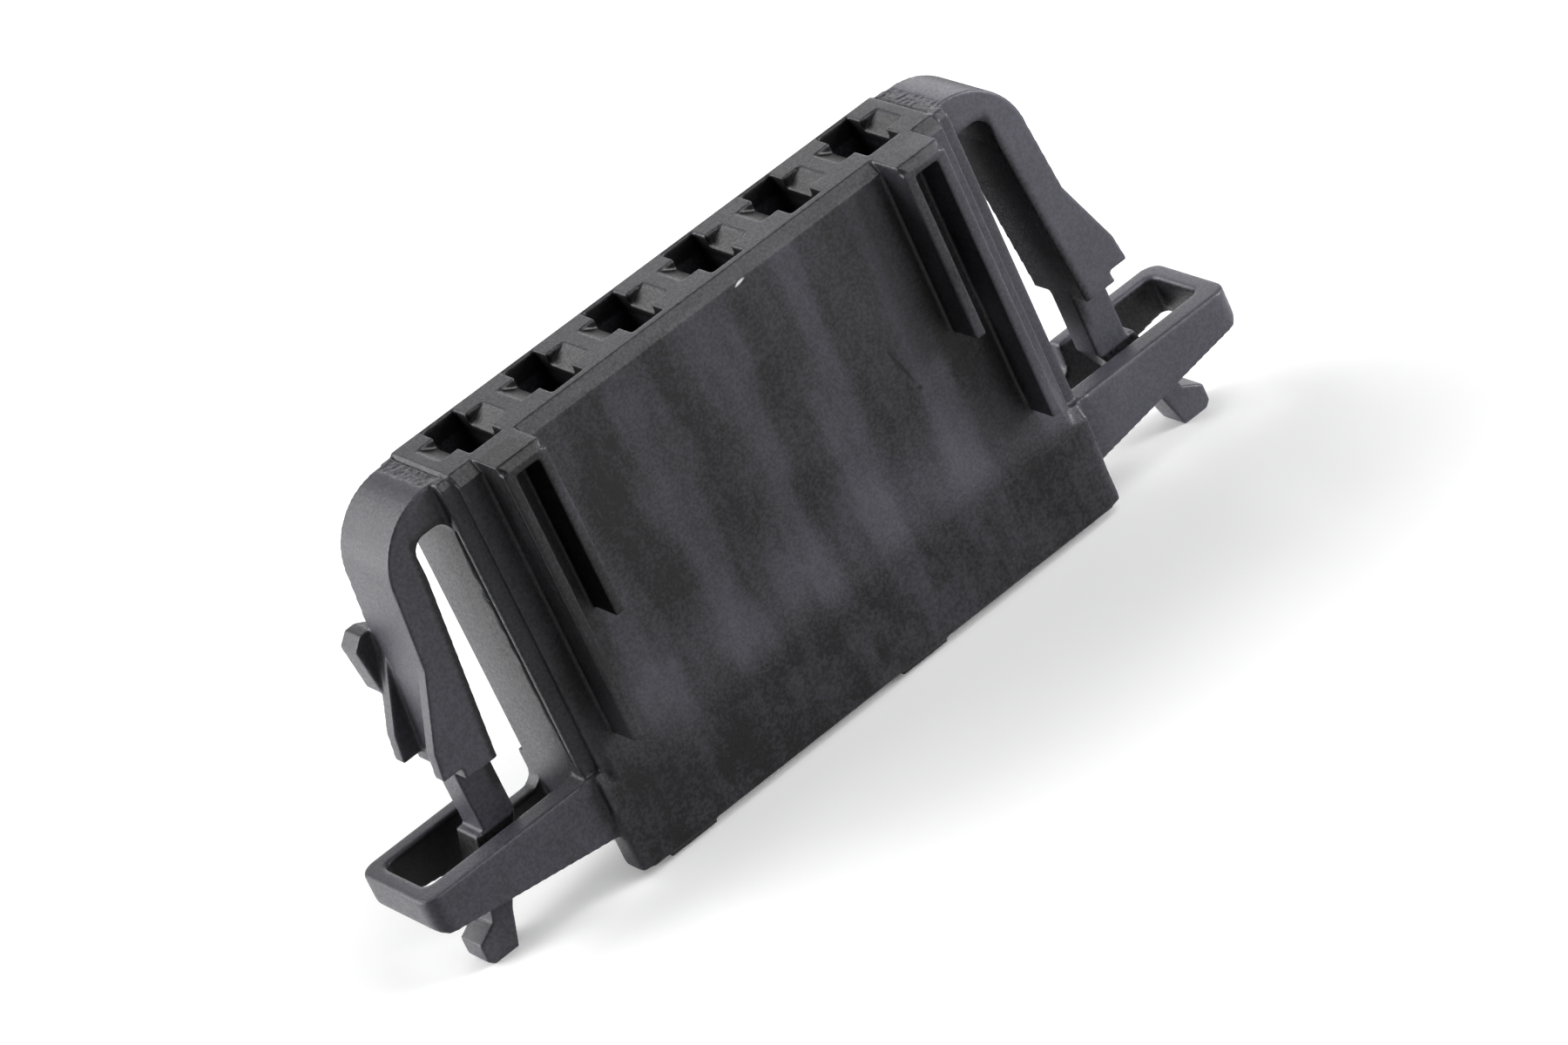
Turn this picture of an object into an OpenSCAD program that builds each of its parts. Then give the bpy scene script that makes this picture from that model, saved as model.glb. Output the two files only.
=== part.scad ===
// Six-way plug housing with two integral latch arms, one black moulding.
// X runs along the row of terminals, the front with its guide ribs faces -Y, the mating side faces down.
// Z = 0 is the plane that the hooks and the rear skirt rest on.

/* [Row] */
// Number of terminal positions
ways = 6; // [4:1:10]
// Spacing of the terminal positions
pitch = 5; // [4.6:0.1:6]

/* [Body] */
// From the terminal row to the front face of the block
body_front = 3.3; // [3:0.05:4]
// From the terminal row to the rear face of the block
body_rear = 3.05; // [2.8:0.05:4]
// Height of the block from its underside to its top face
body_height = 20.8; // [19.4:0.1:26]
// From the axis of the last position to the end of the block
end_margin = 2.7; // [2.4:0.1:4]
// Thickness of the narrower plate at each end
end_plate = 0.75; // [0.5:0.05:1.5]
// How far each end plate stands back from the front and rear faces
end_setback = 0.4; // [0.2:0.05:0.8]
// How far the end plates and the arms lie below the top face
end_step = 0.1; // [0.05:0.05:0.4]
// Chamfer along the front and rear edges of the top face
top_chamfer = 0.6; // [0.3:0.05:0.8]

/* [Skirt] */
// How far the front skirt hangs below the block
skirt_drop = 2.3; // [1.5:0.1:4]
// How far the front skirt ends above the resting plane
skirt_clear = 0.45; // [0.3:0.05:1]
// Thickness of the front skirt wall
skirt_wall = 1.8; // [1.2:0.1:2.4]
// Height of the flat band at the foot of the front face
skirt_band = 5; // [4:0.1:7]
// How far that band stands proud of the front face
skirt_proud = 0.35; // [0.1:0.05:0.8]
// Height of the slope from the band back to the front face
skirt_slope = 0.8; // [0.4:0.1:2]
// How far the skirt is longer than the block at each end
skirt_over = 0.5; // [0.2:0.05:0.7]
// Radius of the skirt's lower front edge
skirt_round = 0.15; // [0.05:0.05:0.4]
// Thickness of the rear skirt wall
rear_wall = 1.55; // [1:0.05:2]
// How far the rear skirt is shorter than the block at each end
rear_short = 0.7; // [0.3:0.1:2]

/* [Coding stubs] */
// Terminal position of the first coding stub
stub_a = 1; // [1:1:4]
// Terminal position of the second coding stub
stub_b = 4; // [2:1:4]
// Length of a stub along the row
stub_length = 2.9; // [2:0.1:4]
// How far a stub stands below the skirt
stub_height = 0.25; // [0.15:0.05:0.3]
// Thickness of a stub
stub_wall = 1; // [0.6:0.1:1.2]
// How far a stub stands back from the front of the skirt
stub_back = 0.15; // [0.05:0.05:0.4]

/* [Terminal cavities] */
// Width of the deep slot, along the row
slot_width = 1.95; // [1.6:0.05:2.4]
// Length of the deep slot, front to back
slot_length = 4.4; // [4:0.1:5]
// Width of the lead-in at the top, along the row
lead_width = 4.15; // [3:0.05:4.4]
// Length of the lead-in, front to back
lead_length = 2.15; // [1.6:0.05:3]
// Depth of the lead-in slopes
lead_depth = 0.6; // [0.3:0.05:2]
// Thickness of the floor that stops the terminal
floor_wall = 1.6; // [1:0.1:3]
// Width of the tab mouth in the floor
mouth_width = 1.1; // [0.9:0.05:1.5]
// Length of the tab mouth in the floor
mouth_length = 3.2; // [2.9:0.1:3.9]
// Width of the lance window in the rear wall
window_width = 1.2; // [0.8:0.1:1.5]
// Height of the lance window
window_height = 2.6; // [1.6:0.1:4]
// Height of the window's sill above the floor of the cavity
window_sill = 5.5; // [3:0.1:9]

/* [Guide ribs] */
// Width over a pair of ribs
rib_span = 2.6; // [2:0.1:3.4]
// Thickness of one rib
rib_wall = 0.6; // [0.4:0.05:0.9]
// How far the ribs stand out from the front face
rib_reach = 2; // [1:0.1:3]
// Length of the outer rib, down from the top face
long_rib = 15.9; // [12:0.1:16.4]
// Length of the inner rib, down from the top face
short_rib = 9.9; // [6:0.1:12]
// Thickness of the roof that joins the two ribs
roof_wall = 0.75; // [0.5:0.05:1.5]
// Chamfer on the roof's front edge and corners
roof_chamfer = 0.4; // [0.2:0.05:0.5]

/* [Latch arm] */
// Width of the arm, front to back
arm_width = 4.4; // [3.6:0.1:5]
// How far the arm lies further back than the row
arm_back = 0.05; // [0:0.05:0.3]
// Thickness of the arm
arm_wall = 1.9; // [1.4:0.1:2.4]
// Gap between the end plate and the arm
arm_gap = 2.15; // [1.6:0.05:3]
// Thickness of the arm's root above the gap
root_wall = 1.95; // [1.4:0.05:2.4]
// Radius of the corners at the top of the gap
gap_round = 0.8; // [0.3:0.05:0.8]
// Outer radius of the bend
bend_radius = 3.8; // [3:0.1:3.9]
// Length of the straight leg below the bend
leg_length = 9.95; // [8:0.05:10.4]
// How far the foot of the leg stands further out than its top
leg_splay = 0.95; // [0.4:0.05:1.4]

/* [Grip fins] */
// Thickness of a fin
fin_wall = 0.8; // [0.5:0.05:1.2]
// How far the fin's tip stands out from the leg
fin_reach = 1.15; // [0.6:0.05:1.5]
// Height of a fin
fin_height = 5.35; // [3:0.05:7]
// Height of the steeper foot of a fin
fin_foot = 1.5; // [0.8:0.1:2.4]
// Extra reach at the knee above the fin's foot
fin_knee = 0.25; // [0.05:0.05:0.4]
// How far the fins end above the foot of the leg
fin_lift = 0.65; // [0.2:0.05:1.5]

/* [Rear tab] */
// Height of the tab
tab_height = 3.2; // [2.5:0.1:4]
// How far the tab stands out from the leg
tab_reach = 1.15; // [0.6:0.05:1.5]
// How far the tab stands behind the leg
tab_depth = 1.3; // [0.6:0.1:2]
// Height of the tab's lower end above the foot of the leg
tab_lift = 4; // [3:0.1:5]

/* [Latch hook] */
// Width of the shaft, front to back
shaft_width = 1.92; // [1.4:0.02:2.4]
// Thickness of the shaft
shaft_wall = 1.95; // [1.4:0.05:2]
// Length of the straight shaft, from the foot of the leg to the ledge
shaft_length = 3.5; // [2.5:0.1:4.5]
// Width of the small ledge on the shaft's outer side
ledge_width = 0.45; // [0.2:0.05:0.8]
// How far the neck of the hook lies further out than the shaft
neck_shift = 2.35; // [1.5:0.05:2.6]
// Thickness of the neck
neck_wall = 1.3; // [1:0.05:1.6]
// Height of the hook's head
head_height = 1.9; // [1.4:0.1:2.4]
// How far the nose of the hook stands out from the neck
nose_reach = 1.1; // [0.5:0.05:1.2]
// Height of the upright face at the nose
nose_face = 0.95; // [0.4:0.05:1.1]
// Chamfer under the nose
nose_chamfer = 0.3; // [0.1:0.05:0.5]
// How far the inner side of the head is cut back towards its foot
head_lead = 0.6; // [0.2:0.05:0.9]

/* [Guard loop] */
// How far the loop stands out from the end plate
loop_reach = 10.1; // [9.4:0.1:12]
// Width of the loop, front to back
loop_width = 6.35; // [6:0.05:7]
// Front wall of the loop
loop_front = 1.4; // [0.8:0.05:1.6]
// Rear wall of the loop
loop_rear = 1; // [0.7:0.05:1.4]
// End wall of the loop
loop_end = 0.95; // [0.6:0.05:1.4]
// Height of the loop at the end plate
loop_root_height = 3.5; // [3:0.05:4.2]
// Height of the loop at its end wall
loop_end_height = 2.1; // [1.6:0.05:2.6]
// Outer corner radius of the loop, seen from above
loop_round = 0.9; // [0.4:0.05:1.2]
// Inner corner radius of the loop, seen from above
loop_inner_round = 0.5; // [0.2:0.05:0.8]
// Radius of the lower edge at the loop's end
loop_heel = 0.7; // [0.3:0.05:1]
// Width of the notch in the loop's rear wall beside the end plate
notch_width = 2.9; // [1.6:0.1:3.4]
// Depth of the notch
notch_depth = 1.8; // [0.8:0.1:2.2]
// Radius of the notch's lower corners
notch_round = 0.7; // [0.2:0.05:0.75]

/* [Hidden] */
$fn = 48;

// Overlap that joins one form to the next, and the overshoot of a cut
bite = 0.2;

row_half = (ways - 1) * pitch / 2;
block_x = row_half + end_margin;
plate_x = block_x + end_plate;
skirt_x = block_x + skirt_over;

skirt_z = skirt_clear;
under_z = skirt_z + skirt_drop;
top_z = under_z + body_height;
arm_z = top_z - end_step;
skirt_y = -body_front - skirt_proud;

// Bend of the arm: outer face, centre of the bend, top of the gap
arm_in_x = plate_x + arm_gap;
arm_out_x = arm_in_x + arm_wall;
bend_x = arm_out_x - bend_radius;
bend_z = arm_z - bend_radius;
gap_z = arm_z - root_wall;
foot_z = bend_z - leg_length;

// Shaft, neck and hook, measured from the foot of the leg
shaft_out_x = leg_x(foot_z);
shaft_in_x = shaft_out_x - shaft_wall;
ledge_z = foot_z - shaft_length;
neck_in_x = shaft_in_x + neck_shift;
neck_out_x = neck_in_x + neck_wall;
nose_x = neck_out_x + nose_reach;

loop_x = plate_x + loop_reach;
loop_y = loop_width / 2;
loop_z = under_z + loop_root_height;

// Outer face of the splayed leg at a height
function leg_x(z) = arm_out_x + leg_splay * (bend_z - z) / leg_length;

// A profile drawn in X and Z, stretched along Y and centred on the row
module across(width) {
    rotate([90, 0, 0]) linear_extrude(width, center = true) children();
}

// A profile drawn in Y and Z, stretched along X and centred
module along(length) {
    rotate([90, 0, 90]) linear_extrude(length, center = true) children();
}

// A rectangle whose corners on the +X side are rounded
module end_rounded(x0, x1, y0, y1, r) {
    translate([x0, y0]) square([x1 - x0 - r, y1 - y0]);
    translate([x0, y0 + r]) square([x1 - x0, y1 - y0 - 2 * r]);
    for (y = [y0 + r, y1 - r]) translate([x1 - r, y]) circle(r);
}

module block() {
    along(2 * block_x)
        polygon([[-body_front, under_z], [body_rear, under_z],
                 [body_rear, top_z - top_chamfer], [body_rear - top_chamfer, top_z],
                 [top_chamfer - body_front, top_z], [-body_front, top_z - top_chamfer]]);
}

// Narrower plate on the end of the block, chamfered like it
module end_wall() {
    front_y = end_setback - body_front;
    rear_y = body_rear - end_setback;
    chamfer = top_chamfer / 2;
    translate([(block_x + plate_x - bite) / 2, 0, 0]) along(end_plate + bite)
        polygon([[front_y, under_z], [rear_y, under_z], [rear_y, arm_z - chamfer], [rear_y - chamfer, arm_z],
                 [front_y + chamfer, arm_z], [front_y, arm_z - chamfer]]);
}

module skirt() {
    band_z = skirt_z + skirt_band;
    along(2 * skirt_x) {
        translate([skirt_y, skirt_z + skirt_round]) square([skirt_wall, skirt_band - skirt_round]);
        translate([skirt_y + skirt_round, skirt_z]) square([skirt_wall - skirt_round, skirt_band]);
        translate([skirt_y + skirt_round, skirt_z + skirt_round]) circle(skirt_round);
        polygon([[skirt_y, band_z], [skirt_y + skirt_wall, band_z], [bite - body_front, band_z + skirt_slope],
                 [-body_front, band_z + skirt_slope]]);
    }
    translate([rear_short - block_x, body_rear - rear_wall, 0])
        cube([2 * (block_x - rear_short), rear_wall, under_z + bite]);
}

module coding_stub(position) {
    x = (position - 1) * pitch - row_half;
    translate([x - stub_length / 2, skirt_y + stub_back, skirt_z - stub_height])
        cube([stub_length, stub_wall, stub_height + skirt_round + bite]);
}

// One cross-shaped cavity: lead-in slopes, deep slot, tab mouth and lance window
module cavity() {
    floor_z = under_z + floor_wall;
    translate([-slot_width / 2, -slot_length / 2, floor_z])
        cube([slot_width, slot_length, top_z - floor_z + bite]);
    across(lead_length)
        polygon([[-lead_width / 2, top_z], [-lead_width / 2, top_z + bite], [lead_width / 2, top_z + bite],
                 [lead_width / 2, top_z], [slot_width / 2, top_z - lead_depth],
                 [-slot_width / 2, top_z - lead_depth]]);
    translate([-mouth_width / 2, -mouth_length / 2, under_z - bite])
        cube([mouth_width, mouth_length, floor_wall + 2 * bite]);
    translate([-window_width / 2, 0, floor_z + window_sill])
        cube([window_width, body_rear + bite, window_height]);
}

// Long outer rib and short inner rib under one roof, on the axis of the last position
module guide_ribs() {
    front_y = -body_front - rib_reach;
    outer_x = row_half + rib_span / 2;
    inner_x = row_half - rib_span / 2;
    translate([outer_x - rib_wall, front_y, top_z - long_rib])
        cube([rib_wall, rib_reach + bite, long_rib - roof_chamfer]);
    translate([inner_x, front_y, top_z - short_rib])
        cube([rib_wall, rib_reach + bite, short_rib - roof_chamfer]);
    intersection() {
        translate([row_half, 0, 0]) along(rib_span)
            polygon([[front_y, top_z - roof_wall], [top_chamfer - body_front, top_z - roof_wall],
                     [top_chamfer - body_front, top_z], [front_y + roof_chamfer, top_z],
                     [front_y, top_z - roof_chamfer]]);
        translate([0, 0, top_z - 2 * roof_wall]) linear_extrude(3 * roof_wall)
            polygon([[inner_x, 0], [inner_x, front_y + roof_chamfer], [inner_x + roof_chamfer, front_y],
                     [outer_x - roof_chamfer, front_y], [outer_x, front_y + roof_chamfer], [outer_x, 0]]);
    }
}

// Root, bend and splayed leg of one arm, seen from the front
module arm_profile() {
    difference() {
        union() {
            translate([block_x - bite, bend_z]) square([bend_x - block_x + bite, bend_radius]);
            intersection() {
                translate([bend_x, bend_z]) circle(bend_radius);
                translate([bend_x, bend_z]) square(bend_radius);
            }
        }
        translate([plate_x, bend_z - bite]) square([arm_gap, gap_z - bend_z - gap_round + bite]);
        translate([plate_x + gap_round, bend_z]) square([arm_gap - 2 * gap_round, gap_z - bend_z]);
        for (x = [plate_x + gap_round, arm_in_x - gap_round])
            translate([x, gap_z - gap_round]) circle(gap_round);
    }
    polygon([[arm_in_x, bend_z], [arm_out_x, bend_z], [leg_x(foot_z), foot_z],
             [leg_x(foot_z) - arm_wall, foot_z]]);
}

module fin_profile() {
    low_z = foot_z + fin_lift;
    tip_x = leg_x(low_z) + fin_reach;
    knee_z = low_z + fin_foot;
    knee_x = leg_x(knee_z) + fin_reach * (1 - fin_foot / fin_height) + fin_knee;
    high_z = low_z + fin_height;
    polygon([[leg_x(high_z), high_z], [knee_x, knee_z], [tip_x, low_z],
             [leg_x(low_z) - bite, low_z], [leg_x(high_z) - bite, high_z]]);
}

module tab_profile() {
    low_z = foot_z + tab_lift;
    high_z = low_z + tab_height;
    slope = tab_reach / 2;
    polygon([[leg_x(high_z) - tab_reach, high_z - slope], [leg_x(high_z), high_z],
             [leg_x(high_z) + slope, high_z], [leg_x(high_z) + tab_reach, high_z - slope],
             [leg_x(low_z) + slope, low_z], [leg_x(low_z), low_z],
             [leg_x(low_z) - tab_reach, low_z + slope]]);
}

module hook_profile() {
    nose_low_z = nose_chamfer;
    nose_high_z = nose_low_z + nose_face;
    polygon([[shaft_in_x, foot_z + bite], [shaft_out_x, foot_z + bite], [shaft_out_x, ledge_z],
             [shaft_out_x + ledge_width, ledge_z], [neck_out_x, head_height],
             [nose_x, nose_high_z], [nose_x, nose_low_z],
             [nose_x - nose_chamfer, 0], [neck_in_x + head_lead, 0],
             [neck_in_x, head_height], [shaft_in_x, ledge_z]]);
}

module latch_arm() {
    translate([0, arm_back, 0]) {
        across(arm_width) arm_profile();
        for (side = [-1, 1])
            translate([0, side * (arm_width - fin_wall) / 2, 0]) across(fin_wall) fin_profile();
        translate([0, (arm_width + tab_depth - bite) / 2, 0]) across(tab_depth + bite) tab_profile();
    }
    across(shaft_width) hook_profile();
}

// Notch of the loop's rear wall, left by the core that forms the gap behind the arm
module notch_profile() {
    low_z = loop_z - notch_depth;
    translate([plate_x, low_z + notch_round]) square([notch_width, notch_depth]);
    translate([plate_x + notch_round, low_z]) square([notch_width - 2 * notch_round, notch_depth]);
    for (x = [plate_x + notch_round, plate_x + notch_width - notch_round])
        translate([x, low_z + notch_round]) circle(notch_round);
}

module guard_loop() {
    end_z = loop_z - loop_end_height;
    difference() {
        loop_frame(end_z);
        translate([0, loop_y, 0]) across(2 * loop_rear + bite) notch_profile();
    }
}

module loop_frame(end_z) {
    intersection() {
        translate([0, 0, under_z]) linear_extrude(loop_root_height) difference() {
            end_rounded(block_x, loop_x, -loop_y, loop_y, loop_round);
            end_rounded(plate_x, loop_x - loop_end, loop_front - loop_y, loop_y - loop_rear, loop_inner_round);
        }
        across(loop_width + bite) {
            polygon([[block_x, under_z], [plate_x, under_z], [loop_x - loop_heel, end_z],
                     [loop_x - loop_heel, loop_z], [block_x, loop_z]]);
            translate([loop_x - loop_heel, end_z + loop_heel]) circle(loop_heel);
            translate([loop_x - 2 * loop_heel, end_z + loop_heel])
                square([2 * loop_heel, loop_end_height - loop_heel]);
        }
    }
}

module housing() {
    color("#26272a") difference() {
        union() {
            block();
            skirt();
            for (position = [stub_a, stub_b]) coding_stub(position);
            for (side = [0, 1]) mirror([side, 0, 0]) {
                end_wall();
                guide_ribs();
                latch_arm();
                guard_loop();
            }
        }
        for (i = [0 : ways - 1]) translate([i * pitch - row_half, 0, 0]) cavity();
    }
}

housing();
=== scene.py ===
"""A six-way connector housing with two latch arms: one black plastic moulding, seen as photographed."""
import bpy
import bmesh
import math
import numpy
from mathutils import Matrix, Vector, noise


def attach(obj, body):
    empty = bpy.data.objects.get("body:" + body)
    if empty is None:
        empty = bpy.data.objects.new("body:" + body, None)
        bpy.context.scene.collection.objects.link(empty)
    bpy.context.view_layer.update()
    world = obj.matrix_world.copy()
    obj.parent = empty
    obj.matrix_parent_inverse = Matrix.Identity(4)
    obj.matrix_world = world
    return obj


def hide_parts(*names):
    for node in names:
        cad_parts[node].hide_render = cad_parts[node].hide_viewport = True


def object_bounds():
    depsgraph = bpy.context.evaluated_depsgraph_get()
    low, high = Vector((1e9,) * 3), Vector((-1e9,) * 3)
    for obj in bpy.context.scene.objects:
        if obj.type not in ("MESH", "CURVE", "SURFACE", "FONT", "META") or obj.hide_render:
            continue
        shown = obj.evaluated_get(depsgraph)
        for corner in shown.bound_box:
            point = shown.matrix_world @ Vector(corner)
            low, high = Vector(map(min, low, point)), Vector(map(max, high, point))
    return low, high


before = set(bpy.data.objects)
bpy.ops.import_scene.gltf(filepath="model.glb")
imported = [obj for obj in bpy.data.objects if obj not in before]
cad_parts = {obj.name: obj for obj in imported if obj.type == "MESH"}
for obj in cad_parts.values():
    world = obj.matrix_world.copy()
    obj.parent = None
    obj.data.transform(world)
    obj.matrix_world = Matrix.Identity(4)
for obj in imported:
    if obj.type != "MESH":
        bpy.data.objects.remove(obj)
cad_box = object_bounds()

# The moulding
# One shot of black glass-filled plastic makes the block, the latch arms and the guard loops together.
# A moulding tool leaves no knife edge: every corner, outer and inner, comes out of it a little round,
# and the guard loops and the ends of the front skirt, which take the knocks, rounder still.
MM = 0.001  # in metres, which Blender counts in; all sizes and places below are in millimetres
GRID, WELD = 0.075, 0.002
ROUNDING = 0.5
CORNER_PASSES, LOOP_PASSES, SKIRT_PASSES = 6, 30, 110
LOOP_START, LOOP_END = 16.4, 24.4
LOOP_LOW, LOOP_TOP = 4.2, 6.8
RAIL_FRONT, RAIL_BACK = -1.5, 1.9
SKIRT_START, SKIRT_END = 15.0, 15.8

shell = bmesh.new()
shell.from_mesh(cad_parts["housing"].data)
bmesh.ops.remove_doubles(shell, verts=shell.verts, dist=WELD * MM)
blank = bpy.data.meshes.new("moulded_housing")
shell.to_mesh(blank)
shell.free()
housing = bpy.data.objects.new("moulded_housing", blank)
bpy.context.collection.objects.link(housing)


def settle(obj):
    """Works the object's modifiers into its mesh and leaves none on it."""
    graph = bpy.context.evaluated_depsgraph_get()
    done = bpy.data.meshes.new_from_object(obj.evaluated_get(graph))
    obj.modifiers.clear()
    obj.data = done


def corners_of(obj):
    """The mesh's points in millimetres, one row each."""
    rows = numpy.empty(len(obj.data.vertices) * 3)
    obj.data.vertices.foreach_get("co", rows)
    return rows.reshape(-1, 3) / MM


def soften(obj, passes, group=""):
    """Rounds the corners of the object, or of one group of its points."""
    rounds = obj.modifiers.new("round_corners", "SMOOTH")
    rounds.factor = ROUNDING
    rounds.iterations = passes
    rounds.vertex_group = group


fine = housing.modifiers.new("fine_grid", "REMESH")
fine.mode = "VOXEL"
fine.voxel_size = GRID * MM
soften(housing, CORNER_PASSES)
settle(housing)

x, y, z = corners_of(housing).T
rails = (y < RAIL_FRONT) | (y > RAIL_BACK) | (abs(x) > LOOP_END)
rails &= (abs(x) > LOOP_START) & (z > LOOP_LOW) & (z < LOOP_TOP)
skirt_ends = (abs(x) > SKIRT_START) & (abs(x) < SKIRT_END) & (y < RAIL_FRONT) & (z < LOOP_LOW)
for name, chosen, passes in (("loops", rails, LOOP_PASSES), ("skirt_ends", skirt_ends, SKIRT_PASSES)):
    knocked = housing.vertex_groups.new(name=name)
    knocked.add(numpy.nonzero(chosen)[0].tolist(), 1.0, "REPLACE")
    soften(housing, passes, name)
settle(housing)

# The marks of the tool
# The front swells gently into its thicker foot, and has sunk a little over each wall between two ways.
# The arm roots were gated: the runner tore off there and left a rough strip and a crack-like line.
# A thin groove runs down each end plate just behind its front corner, where the tool halves closed.
FACE_Y, FOOT_Y = -3.3, -3.65
FACE_REACH, FACE_FADE = 0.07, 0.05
FOOT_TOP, FOOT_SLOPE_TOP = 5.45, 6.25
SWELL_LOW, SWELL_HIGH = 4.7, 9.6
SWELL_HALF, SWELL_FADE = 14.6, 0.5
PITCH = 5.0
SINK_DEPTH, SINK_SHIFT, SINK_FADE = 0.035, 0.7, 1.0
SINK_LOW, SINK_HIGH, SINK_HALF = 7.4, 21.8, 10.0
STEP_X, ROOT_X = 15.2, 16.3
ROOT_FRONT, ROOT_BACK, ROOT_TOP = -2.05, 2.1, 23.45
TEAR_START, TEAR_END, TEAR_FADE = STEP_X + 0.15, ROOT_X - 0.1, 0.1
TEAR_FRONT, TEAR_BACK, TEAR_RUN_OUT = ROOT_FRONT + 0.2, ROOT_BACK - 0.2, 0.15
TEAR_DEPTH, TEAR_SKIN = 0.055, 0.1
TEAR_LEAST, TEAR_CONTRAST = 0.15, 1.6
COARSE_TEAR, FINE_TEAR = 0.45, 0.17
COARSE_SHARE, FINE_SHARE = 0.6, 0.5
CRACK_START, CRACK_END, CRACK_FADE = STEP_X + 0.06, STEP_X + 0.12, 0.07
CRACK_DEPTH, CRACK_SKIN, CRACK_RUN_OUT = 0.1, 0.06, 0.1
PLATE_X, PLATE_REACH, PLATE_FADE = 15.95, 0.04, 0.05
GROOVE_Y, GROOVE_WIDTH, GROOVE_DEPTH = -2.45, 0.06, 0.14
GROOVE_LOW, GROOVE_HIGH, GROOVE_RUN_OUT = 7.2, 20.6, 0.3
NICK_SLANT = 0.7
NICKS = (  # place, width, depth
    ((-15.75, -2.95, 23.45), 0.22, 0.10),
    ((10.4, -3.25, 23.25), 0.20, 0.08),
    ((2.1, -3.3, 22.75), 0.26, 0.06),
)

points = corners_of(housing)
x, y, z = points.T.copy()


def within(value, low, high, fade):
    """1 between the two limits, falling smoothly to 0 over the fade outside them."""
    t = numpy.clip(numpy.minimum(value - low, high - value) / fade + 1, 0, 1)
    return t * t * (3 - 2 * t)


stepped = numpy.interp(z, (FOOT_TOP, FOOT_SLOPE_TOP), (FOOT_Y, FACE_Y))
swollen = FACE_Y + (FOOT_Y - FACE_Y) * within(z, 0, SWELL_LOW, SWELL_HIGH - SWELL_LOW)
front = within(y - stepped, -FACE_REACH, FACE_REACH, FACE_FADE)
points[:, 1] += front * within(abs(x), 0, SWELL_HALF, SWELL_FADE) * (swollen - stepped)

sunk = front * within(x, -SINK_HALF, SINK_HALF, SINK_FADE) * within(z, SINK_LOW, SINK_HIGH, SINK_FADE)
points[:, 1] += sunk * SINK_DEPTH * (0.5 + 0.5 * numpy.cos((x + SINK_SHIFT) / PITCH * 2 * math.pi))

torn = within(abs(x), TEAR_START, TEAR_END, TEAR_FADE) * within(y, TEAR_FRONT, TEAR_BACK, TEAR_RUN_OUT)
torn *= z > ROOT_TOP - TEAR_SKIN
for i in numpy.nonzero(torn)[0]:
    spot = Vector(points[i])
    rough = COARSE_SHARE * abs(noise.noise(spot / COARSE_TEAR))
    rough += FINE_SHARE * abs(noise.noise(spot / FINE_TEAR))
    points[i, 2] -= torn[i] * TEAR_DEPTH * min(1.0, TEAR_LEAST + TEAR_CONTRAST * rough)
crack = within(abs(x), CRACK_START, CRACK_END, CRACK_FADE) * (z > ROOT_TOP - CRACK_SKIN)
points[:, 2] -= crack * within(y, ROOT_FRONT, ROOT_BACK, CRACK_RUN_OUT) * CRACK_DEPTH

groove = within(abs(x), PLATE_X - PLATE_REACH, PLATE_X + PLATE_REACH, PLATE_FADE)
groove *= within(y, GROOVE_Y, GROOVE_Y + GROOVE_WIDTH, GROOVE_WIDTH)
groove *= within(z, GROOVE_LOW, GROOVE_HIGH, GROOVE_RUN_OUT)
points[:, 0] -= groove * GROOVE_DEPTH * numpy.sign(x)

for nick, width, depth in NICKS:
    away = numpy.linalg.norm(points - nick, axis=1) / width
    dent = numpy.exp(-away ** 2) * depth
    points[:, 1] += NICK_SLANT * dent
    points[:, 2] -= NICK_SLANT * dent

housing.data.vertices.foreach_set("co", (points * MM).ravel())
housing.data.update()

# The skin
# Glass-filled plastic as it left the tool, with no paint and no polish. Its fine grain gives the eye a
# dull charcoal with broad, soft glints, clouded by the fibre just under it. Light and shade are painted
# into its colour too: paler ends, darker hollows, sheen, light and shadows on the front, a glint on a
# nick.
MOST_TRIANGLES = 150000
FLATNESS = 80
SOOT, ASH, GLINT_WHITE = "#0b0a0c", "#595862", "#d4d2d6"
PLASTIC_IOR = 1.5
GRAIN, GRAIN_HEIGHT, GRAIN_STRENGTH = 0.13, 0.012, 0.35
SMOOTHEST, ROUGHEST = 0.36, 0.50

thin = housing.modifiers.new("fewer_faces", "DECIMATE")
thin.ratio = MOST_TRIANGLES / (2 * len(housing.data.polygons))
thin.use_collapse_triangulate = True
settle(housing)
housing.data.vertices.foreach_set("co", numpy.clip(corners_of(housing) * MM, *cad_box).ravel())
housing.data.shade_smooth()
flats = housing.modifiers.new("flat_faces_stay_flat", "WEIGHTED_NORMAL")
flats.mode = "FACE_AREA"
flats.weight = FLATNESS
settle(housing)


def linear(text):
    """An sRGB colour as written, as the linear colour that the shaders take."""
    parts = [int(text[i:i + 2], 16) / 255 for i in (1, 3, 5)]
    return tuple(c / 12.92 if c <= 0.04045 else ((c + 0.055) / 1.055) ** 2.4 for c in parts) + (1.0,)


def add(kind, inputs, **settings):
    """Adds a node to the tree in hand; each input takes a plain value or the output that feeds it."""
    node = tree.nodes.new("ShaderNode" + kind)
    for name, value in settings.items():
        setattr(node, name, value)
    for name, value in inputs.items():
        if isinstance(value, bpy.types.NodeSocket):
            tree.links.new(value, node.inputs[name])
        else:
            node.inputs[name].default_value = value
    return node


def layered(*layers):
    """The sum of the layers, each the product of a strength or pattern and the zones that hold it in."""
    total = 0.0
    for factors in layers:
        amount = 1.0
        for factor in factors:
            amount = add("Math", {0: amount, 1: factor}, operation="MULTIPLY").outputs[0]
        total = add("Math", {0: total, 1: amount}, operation="ADD").outputs[0]
    return total


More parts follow.
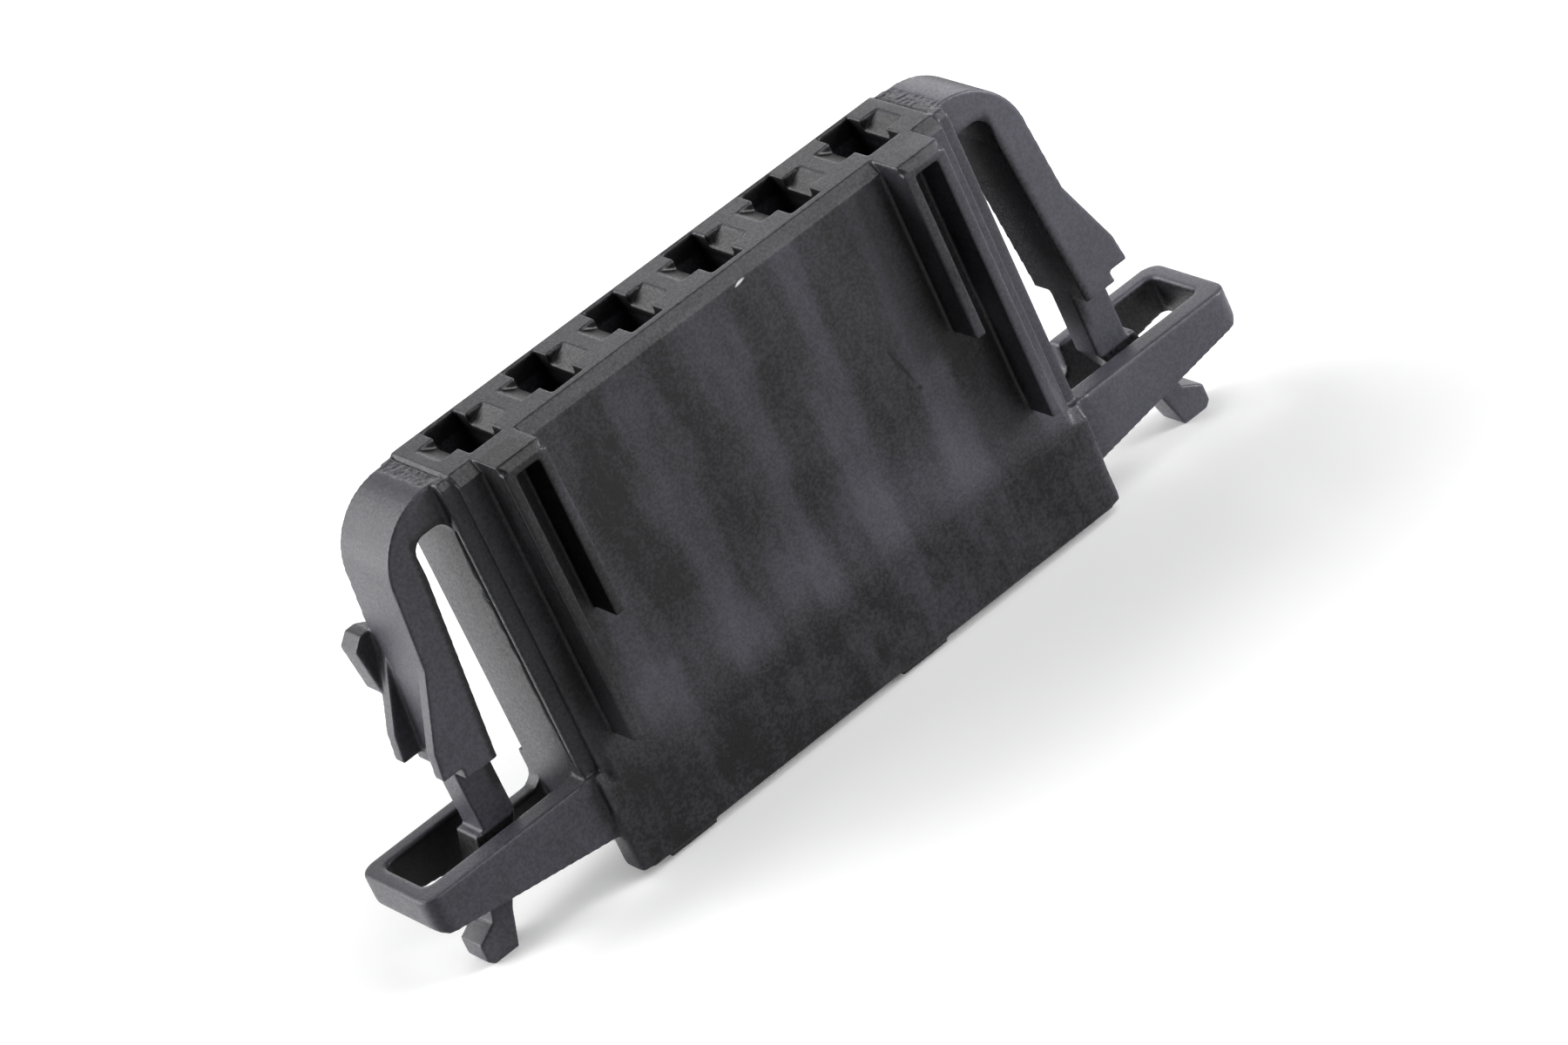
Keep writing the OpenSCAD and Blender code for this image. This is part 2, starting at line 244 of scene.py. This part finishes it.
def zone(*edges):
    """1 inside every edge, else 0; an edge is an axis and the places where the zone begins and is full."""
    inside = 1.0
    for axis, (none, full) in edges:
        limits = {"Value": axis, "From Min": none * MM, "From Max": full * MM}
        edge = add("MapRange", limits, interpolation_type="SMOOTHSTEP")
        inside = add("Math", {0: inside, 1: edge.outputs[0]}, operation="MULTIPLY").outputs[0]
    return inside


def mottle(size, low, high, drawn=1, detail=2.0):
    """Clouds of one size, drawn out upward, that swing between low and high."""
    scale = 1 / (size * MM)
    local = add("Mapping", {"Vector": place, "Scale": (scale, scale, scale / drawn)})
    grains = {"Vector": local.outputs["Vector"], "Scale": 1.0, "Detail": detail, "Roughness": 0.6}
    clouds = add("TexNoise", grains).outputs["Fac"]
    limits = {"Value": clouds, "From Min": 0.3, "From Max": 0.7, "To Min": low, "To Max": high}
    return add("MapRange", limits, interpolation_type="SMOOTHSTEP").outputs[0]


def mark(centre, reach, turn, strength):
    """A soft-edged mark about a point, as long each way as its reach, leaning by the turn in degrees."""
    spread = {
        "Vector": place,
        "Location": [c * MM for c in centre],
        "Rotation": (0, math.radians(turn), 0),
        "Scale": [r * MM for r in reach],
    }
    local = add("Mapping", spread, vector_type="TEXTURE").outputs["Vector"]
    away = add("VectorMath", {0: local}, operation="LENGTH").outputs["Value"]
    limits = {"Value": away, "From Min": 0.4, "From Max": 1.0, "To Min": strength, "To Max": 0.0}
    return add("MapRange", limits, interpolation_type="SMOOTHSTEP").outputs[0]


plastic = bpy.data.materials.new("black_glass_filled_plastic_as_moulded")
plastic.use_nodes = True
tree = plastic.node_tree
tree.nodes.clear()
place = add("TexCoord", {}).outputs["Object"]
axes = add("SeparateXYZ", {"Vector": place})
along, deep, high = axes.outputs["X"], axes.outputs["Y"], axes.outputs["Z"]
side = add("Math", {0: along}, operation="ABSOLUTE").outputs[0]

# The lead-in slopes of the ways and the inside of the arms and loops are darkened,
# a painted shade in these hollows.
# The legs of the arms lean outward below the bend, and are set upright here to find their inner side.
PAINTED_SHADE_INSIDE = -0.6
ARM_BEND, ARM_LEAN = 19.65, 0.0955
OFF_THE_PLATE = (15.9, 16.3)
IN_ARM_X, IN_ARM_LOW, IN_ARM_TOP = (18.6, 18.2), (7.0, 9.0), (22.0, 21.2)
IN_LOOP_X, IN_LOOP_FRONT, IN_LOOP_BACK = (25.4, 25.2), (-2.1, -1.9), (2.6, 2.35)
IN_LOOP_LOW, IN_LOOP_TOP = (2.6, 3.2), (6.15, 6.0)
WAYS_X, WAYS_FRONT, WAYS_BACK = (15.15, 15.0), (-2.7, -2.5), (2.7, 2.5)
LEAD_IN_LOW, LEAD_IN_TOP = (22.4, 22.8), (23.5, 23.3)

upright = layered((side,), (ARM_LEAN, high), (-ARM_LEAN * ARM_BEND * MM,))
in_arm = zone((side, OFF_THE_PLATE), (upright, IN_ARM_X), (high, IN_ARM_LOW), (high, IN_ARM_TOP))
in_loop = zone((side, OFF_THE_PLATE), (side, IN_LOOP_X), (deep, IN_LOOP_FRONT), (deep, IN_LOOP_BACK),
               (high, IN_LOOP_LOW), (high, IN_LOOP_TOP))
lead_in = zone((side, WAYS_X), (deep, WAYS_FRONT), (deep, WAYS_BACK),
               (high, LEAD_IN_LOW), (high, LEAD_IN_TOP))

# The front is paler over each wall between two ways, where it has sunk: a painted sheen. It is paler on
# the swell above its foot, and darker on the foot itself, a painted shade. Painted light makes it darker
# to the left and paler to the right, and painted shadows lie close beside the right ribs. It has a few
# darker patches and a scratch.
FRONT_FACE, FRONT_ENDS = (-3.05, -3.25), (15.6, 15.3)
STRIPE_TURNS = 2 * math.pi / (PITCH * MM)
STRIPE_SWAY, SWAY_LEAST, SWAY_MOST = 3.5, -0.1, 1.5
STRIPE_DIP, STRIPE_DARK, STRIPE_PALE = -0.6, -0.1, 0.15
STRIPES_LOW, STRIPES_ON_FOOT = (4.0, 8.0), 0.35
LEFT_TO_RIGHT, LEFT_TONE, RIGHT_TONE = (-12.0, 12.0), -0.06, 0.1
STREAK, STREAK_TONE = 0.9, 0.05
SWELL_RISE, SWELL_FALL, SWELL_TONE = (5.0, 7.5), (12.0, 8.5), 0.18
ON_FOOT, FOOT_RIGHT, FOOT_RIGHT_TONE = (6.2, 4.8), (2.0, 12.0), -0.11
FOOT_CLOUD, FOOT_DARK, FOOT_PALE = 2.2, -0.12, -0.01
MARKS_AND_PAINTED_SHADOWS = (  # centre, reach, turn, strength
    ((7.9, -3.3, 13.87), (0.13, 0.5, 1.5), -16.8, -0.3),  # the scratch
    ((8.36, -3.3, 12.35), (0.2, 0.5, 0.2), 0, -0.3),  # a dot below it
    ((-7.4, -3.3, 20.0), (0.4, 0.5, 0.7), 0, -0.15),  # darker patches on the face
    ((-8.0, -3.3, 11.5), (1.6, 0.5, 2.4), 0, -0.08),
    ((0.5, -3.65, 2.4), (0.5, 0.6, 1.5), 0, -0.16),  # darker patches on the foot
    ((-9.5, -3.65, 2.4), (0.5, 0.6, 1.4), 0, -0.16),
    ((11.0, -3.3, 16.5), (1.5, 0.6, 7.5), 0, -0.25),  # painted shadows beside the right ribs
    ((13.0, -3.4, 10.5), (1.3, 0.7, 4.5), 0, -0.25),
)

sway = mottle(STRIPE_SWAY, SWAY_LEAST * MM, SWAY_MOST * MM, drawn=4)
swing = layered((STRIPE_TURNS, along), (STRIPE_TURNS, sway))
wave = add("Math", {0: swing}, operation="COSINE").outputs[0]
limits = {"Value": wave, "From Min": STRIPE_DIP, "To Min": STRIPE_DARK, "To Max": STRIPE_PALE}
stripes = add("MapRange", limits, interpolation_type="SMOOTHSTEP").outputs[0]
on_foot = zone((high, ON_FOOT))
# Painted light and shade: the sheen of the stripes, the left-to-right tone, the darker foot, the shadows
# by the ribs.
front_tone_and_painted_light = layered(
    (STRIPES_ON_FOOT, stripes),
    (1 - STRIPES_ON_FOOT, stripes, zone((high, STRIPES_LOW))),
    (LEFT_TONE,),
    (RIGHT_TONE - LEFT_TONE, zone((along, LEFT_TO_RIGHT))),
    (mottle(STREAK, -STREAK_TONE, STREAK_TONE, drawn=5),),
    (SWELL_TONE, zone((high, SWELL_RISE), (high, SWELL_FALL))),
    (mottle(FOOT_CLOUD, FOOT_DARK, FOOT_PALE), on_foot),
    (FOOT_RIGHT_TONE, zone((along, FOOT_RIGHT)), on_foot),
    *[(mark(*each),) for each in MARKS_AND_PAINTED_SHADOWS],
)

# The torn gate strips are speckled, where broken fibre shows.
STRIP_START, STRIP_END = (STEP_X, STEP_X + TEAR_FADE), (ROOT_X, ROOT_X - TEAR_FADE)
STRIP_TOP = (ROOT_TOP - 0.2, ROOT_TOP - 0.12)
SPECK, SPECK_TONE = 0.17, 0.1
FIBRE_EDGE, FIBRE_DARK, FIBRE_PALE = 0.09, -0.08, 0.14

specks = mottle(SPECK, -SPECK_TONE, SPECK_TONE, detail=1.0)
limits = {
    "Value": specks,
    "From Min": -FIBRE_EDGE,
    "From Max": FIBRE_EDGE,
    "To Min": FIBRE_DARK,
    "To Max": FIBRE_PALE,
}
broken_fibre = add("MapRange", limits, interpolation_type="SMOOTHSTEP").outputs[0]

# Paleness, 0 to 1, gathers what makes one place of the skin paler than another, painted light and shade
# among it. All over there are clouds of fibre and the specks of the grain. The ends are paler than the
# block, the right end most: a painted light.
CLOUD, CLOUD_DARK, CLOUD_PALE = 4, 0.12, 0.24
PAINTED_LIGHT_ENDS, END_TO_END = (14.2, 17.2), (-17.0, 17.0)
LEFT_END, RIGHT_END = 0.25, 0.52

ends = zone((side, PAINTED_LIGHT_ENDS))
paleness = layered(
    (mottle(CLOUD, CLOUD_DARK, CLOUD_PALE),),
    (specks,),
    # The paler ends are painted light.
    (LEFT_END, ends),
    (RIGHT_END - LEFT_END, zone((along, END_TO_END)), ends),
    # Painted shade in the hollows: inside the arms and loops and on the lead-in slopes.
    (PAINTED_SHADE_INSIDE, in_arm),
    (PAINTED_SHADE_INSIDE, in_loop),
    (PAINTED_SHADE_INSIDE, lead_in),
    (front_tone_and_painted_light, zone((deep, FRONT_FACE), (side, FRONT_ENDS))),
    (broken_fibre, zone((side, STRIP_START), (side, STRIP_END), (high, STRIP_TOP))),
)

# A small white glint is painted where the nick cuts into the top edge: a painted highlight.
PAINTED_GLINT = ((2.1, -3.25, 22.83), (0.4, 0.3, 0.11), -12, 1)
COLOUR_A, COLOUR_B, MIXED_COLOUR = 6, 7, 2  # the sockets of a Mix node that hold colours

shade = {0: paleness, COLOUR_A: linear(SOOT), COLOUR_B: linear(ASH)}
tone = add("Mix", shade, data_type="RGBA").outputs[MIXED_COLOUR]
glinted = {0: mark(*PAINTED_GLINT), COLOUR_A: tone, COLOUR_B: linear(GLINT_WHITE)}
tone = add("Mix", glinted, data_type="RGBA").outputs[MIXED_COLOUR]
grain = mottle(GRAIN, 0, 1)
bump = add("Bump", {"Height": grain, "Strength": GRAIN_STRENGTH, "Distance": GRAIN_HEIGHT * MM})
limits = {"Value": grain, "To Min": SMOOTHEST, "To Max": ROUGHEST}
dullness = add("MapRange", limits, interpolation_type="SMOOTHSTEP").outputs[0]
look = {
    "Base Color": tone,
    "IOR": PLASTIC_IOR,
    "Roughness": dullness,
    "Normal": bump.outputs["Normal"],
}
skin = add("BsdfPrincipled", look)
add("OutputMaterial", {"Surface": skin.outputs["BSDF"]})

housing.data.materials.append(plastic)
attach(housing, "root")
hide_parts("housing")

# The table
# A white studio table runs out of the picture on every side and takes the soft shadow of the housing.
# The camera sees it white all over. In what the plastic mirrors of it, and in the light it throws back, it
# is greyer in front and dark behind the row: a painted shade that keeps the gaps black. Where it is not
# shaded, it also glows in the plastic's glints: a painted reflection.
FAR = 3000
FRONT_PAINTED_SHADE, FRONT_LEFT_PAINTED_SHADE, BACK_PAINTED_SHADE = 0.58, 0.35, 0.01
FRONT_SHADE_EDGE, FRONT_SHADE_RIGHT = (2.0, -6.0), (-35.0, 0.0)
BACK_SHADE_EDGE, BACK_SHADE_LEFT = (8.0, 14.0), (-14.0, -4.0)
PAPER_GLOW, PAINTED_REFLECTION_GLOW, PAINTED_REFLECTION_FROM = 0.1, 0.4, 0.85

reach = FAR * MM
sheet = bpy.data.meshes.new("white_table")
sheet.from_pydata([(-reach, -reach, 0), (reach, -reach, 0), (reach, reach, 0), (-reach, reach, 0)], [],
                  [(0, 1, 2, 3)])
table = bpy.data.objects.new("white_table", sheet)
bpy.context.collection.objects.link(table)
white = bpy.data.materials.new("matt_white_paper")
white.use_nodes = True
tree = white.node_tree
tree.nodes.clear()
axes = add("SeparateXYZ", {"Vector": add("TexCoord", {}).outputs["Object"]})
along, deep = axes.outputs["X"], axes.outputs["Y"]
ray = add("LightPath", {})
seen, glinting = ray.outputs["Is Camera Ray"], ray.outputs["Is Glossy Ray"]
in_front = zone((deep, FRONT_SHADE_EDGE))
mirrored = layered(
    (1.0,),
    (FRONT_LEFT_PAINTED_SHADE - 1, in_front),
    (FRONT_PAINTED_SHADE - FRONT_LEFT_PAINTED_SHADE, in_front, zone((along, FRONT_SHADE_RIGHT))),
    (BACK_PAINTED_SHADE - 1, zone((deep, BACK_SHADE_EDGE), (along, BACK_SHADE_LEFT))),
)
paper = add("Math", {0: seen, 1: mirrored}, operation="MAXIMUM").outputs[0]
cover = add("BsdfDiffuse", {"Color": paper})
limits = {"Value": mirrored, "From Min": PAINTED_REFLECTION_FROM, "To Max": PAINTED_REFLECTION_GLOW}
painted_reflection = add("MapRange", limits, interpolation_type="SMOOTHSTEP").outputs[0]
# The glow seen in the plastic's glints is a painted reflection.
lit = add("Emission", {"Color": (1, 1, 1, 1), "Strength": layered((painted_reflection, glinting), (PAPER_GLOW, seen))})
both = add("AddShader", {0: cover.outputs[0], 1: lit.outputs[0]})
add("OutputMaterial", {"Surface": both.outputs[0]})
sheet.materials.append(white)

# The light
# Soft boxes stand round the piece, as for a catalogue picture of something black: they rake the tops and
# the left ends from behind, and two in front fill the broad face.
AWAY = 600
AIM = Vector((0, 0, 10)) * MM
ROOM_GLOW = 0.03
SOFT_BOXES = (  # name, direction, width, watts
    ("left_low_box", (-0.85, 0.48, 0.21), 500, 4.8),
    ("back_left_box", (-0.38, 0.66, 0.64), 500, 2.4),
    ("back_right_box", (0.56, 0.80, 0.21), 500, 1.3),
    ("front_right_box", (0.80, -0.55, 0.24), 300, 3.4),
    ("top_front_box", (0.36, -0.47, 0.80), 500, 1.7),
)

world = bpy.data.worlds.new("dim_studio")
bpy.context.scene.world = world
world.use_nodes = True
tree = world.node_tree
tree.nodes.clear()
room = add("Background", {"Color": (1, 1, 1, 1), "Strength": ROOM_GLOW})
add("OutputWorld", {"Surface": room.outputs["Background"]})

for name, toward, width, watts in SOFT_BOXES:
    lamp = bpy.data.lights.new(name, "AREA")
    lamp.shape = "DISK"
    lamp.size = width * MM
    lamp.energy = watts
    stand = bpy.data.objects.new(name, lamp)
    stand.location = Vector(toward).normalized() * AWAY * MM
    stand.rotation_euler = (AIM - stand.location).to_track_quat("-Z", "Y").to_euler()
    bpy.context.collection.objects.link(stand)

# The camera
# A long lens from the front and left, tipped so that the row of ways climbs to the right.
LENS, FILM = 166.016, 36.0
EYE = (-125.382, -278.863, 173.362)
EYE_TURN = (59.2447, 22.2813, -36.9806)
NEAREST = 10

lens = bpy.data.cameras.new("camera")
lens.lens = LENS
lens.sensor_width = FILM
lens.sensor_fit = "HORIZONTAL"
lens.clip_start = NEAREST * MM
camera = bpy.data.objects.new("camera", lens)
camera.location = [c * MM for c in EYE]
camera.rotation_euler = [math.radians(angle) for angle in EYE_TURN]
bpy.context.collection.objects.link(camera)
bpy.context.scene.camera = camera
bpy.context.scene.view_settings.view_transform = "Standard"
